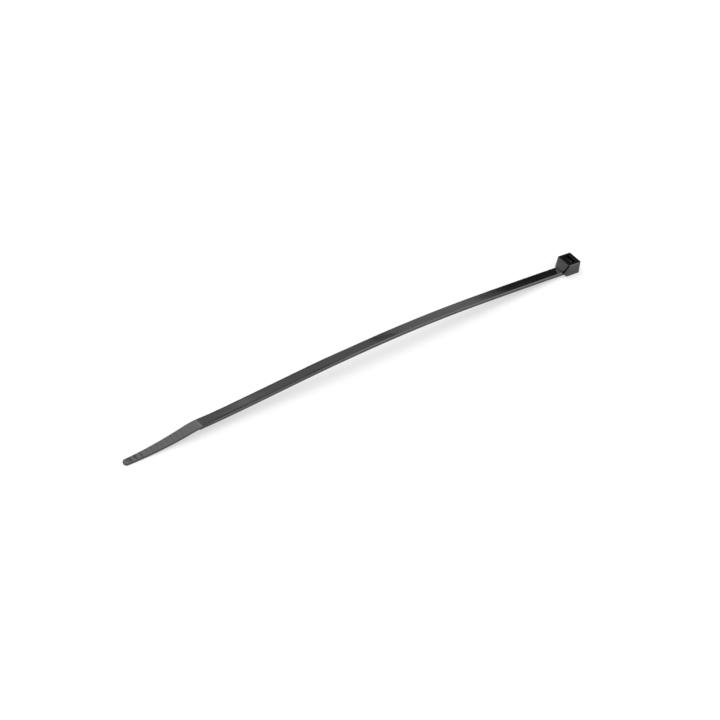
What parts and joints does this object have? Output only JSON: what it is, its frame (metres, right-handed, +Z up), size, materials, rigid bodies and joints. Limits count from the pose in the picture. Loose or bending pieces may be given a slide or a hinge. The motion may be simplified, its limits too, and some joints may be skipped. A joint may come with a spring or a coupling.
{
  "type": "cable tie",
  "caption": "One-piece nylon cable tie: arched strap with a tooth rack underneath, ribbed tapering tail, and a wedge-fronted head whose slot holds a springy pawl.",
  "frame": {"origin": "middle of the tie's footprint, on the surface it lies on", "axes": "+X along the strap from the tail to the head, +Y across the strap, +Z up, out of the strap's smooth side"},
  "size_m": [0.2, 0.0072, 0.007],
  "materials": {
    "black_nylon": "satin moulded nylon"
  },
  "bodies": {
    "root": {"cable_tie": "black_nylon"}
  },
  "joints": []
}
